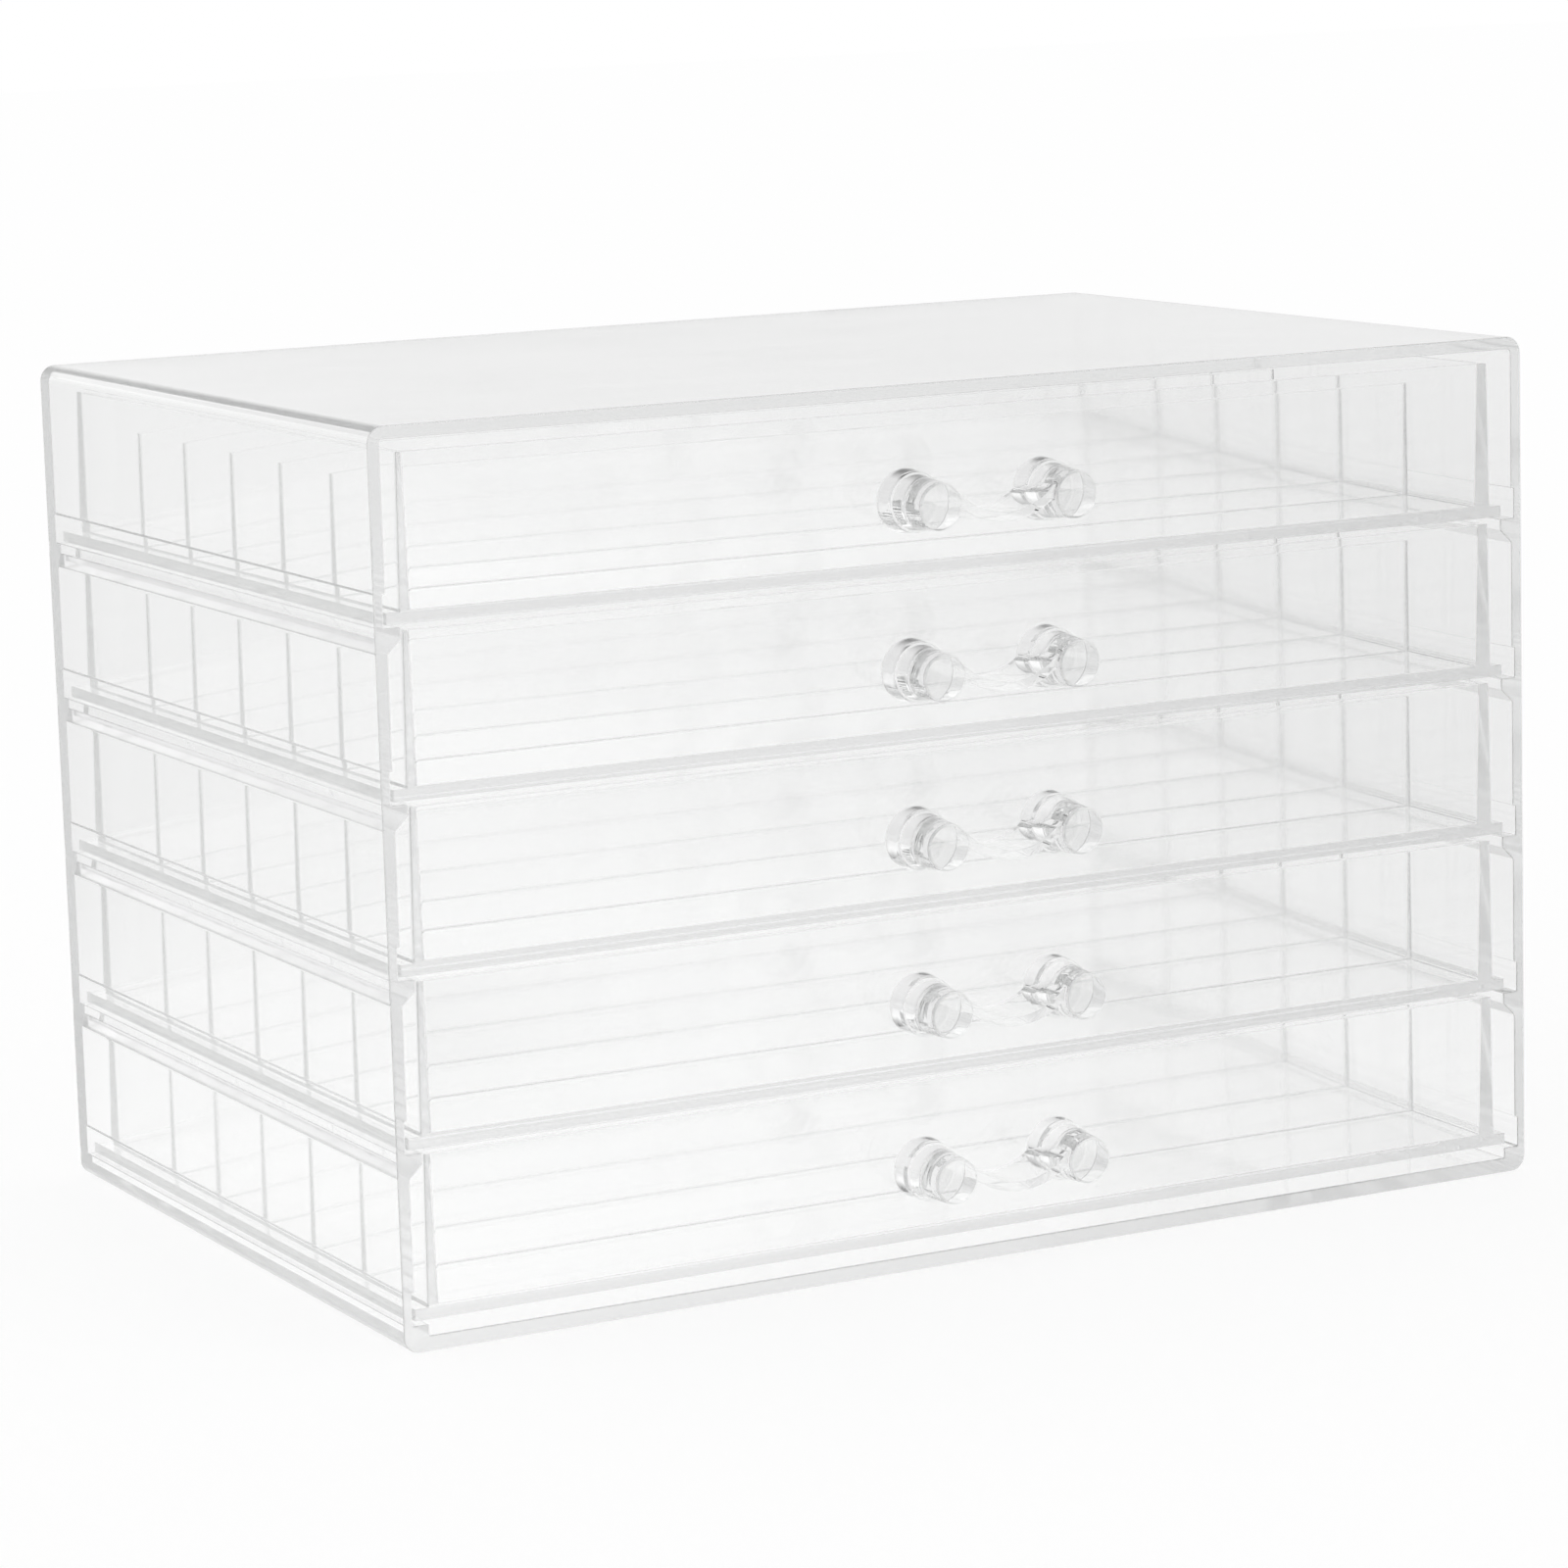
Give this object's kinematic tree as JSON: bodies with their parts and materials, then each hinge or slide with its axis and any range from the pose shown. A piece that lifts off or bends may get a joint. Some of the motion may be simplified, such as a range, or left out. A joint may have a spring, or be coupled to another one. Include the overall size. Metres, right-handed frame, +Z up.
{
  "type": "jewellery drawer box",
  "caption": "Clear moulded drawer box for necklaces: a sleeve housing with stacked pull-out drawers, each divided into long bays and pulled by a two-post handle.",
  "frame": {"origin": "middle of the housing's underside", "axes": "+Z up, the drawer fronts face -Y, +X to the right as seen from the front"},
  "size_m": [0.235, 0.1679, 0.16],
  "materials": {
    "clear_plastic": "polished, water-clear moulded plastic",
    "clear_handle": "polished, water-clear solid plastic"
  },
  "bodies": {
    "housing": {"housing": "clear_plastic"},
    "drawer_1": {"drawer_1": "clear_plastic", "handle_1": "clear_handle"},
    "drawer_2": {"drawer_2": "clear_plastic", "handle_2": "clear_handle"},
    "drawer_3": {"drawer_3": "clear_plastic", "handle_3": "clear_handle"},
    "drawer_4": {"drawer_4": "clear_plastic", "handle_4": "clear_handle"},
    "drawer_5": {"drawer_5": "clear_plastic", "handle_5": "clear_handle"}
  },
  "joints": [
    {"name": "drawer_1_slide", "type": "slide", "parent": "housing", "child": "drawer_1", "axis": [0, -1, 0], "range_m": [0, 0.115]},
    {"name": "drawer_2_slide", "type": "slide", "parent": "housing", "child": "drawer_2", "axis": [0, -1, 0], "range_m": [0, 0.115]},
    {"name": "drawer_3_slide", "type": "slide", "parent": "housing", "child": "drawer_3", "axis": [0, -1, 0], "range_m": [0, 0.115]},
    {"name": "drawer_4_slide", "type": "slide", "parent": "housing", "child": "drawer_4", "axis": [0, -1, 0], "range_m": [0, 0.115]},
    {"name": "drawer_5_slide", "type": "slide", "parent": "housing", "child": "drawer_5", "axis": [0, -1, 0], "range_m": [0, 0.115]}
  ]
}
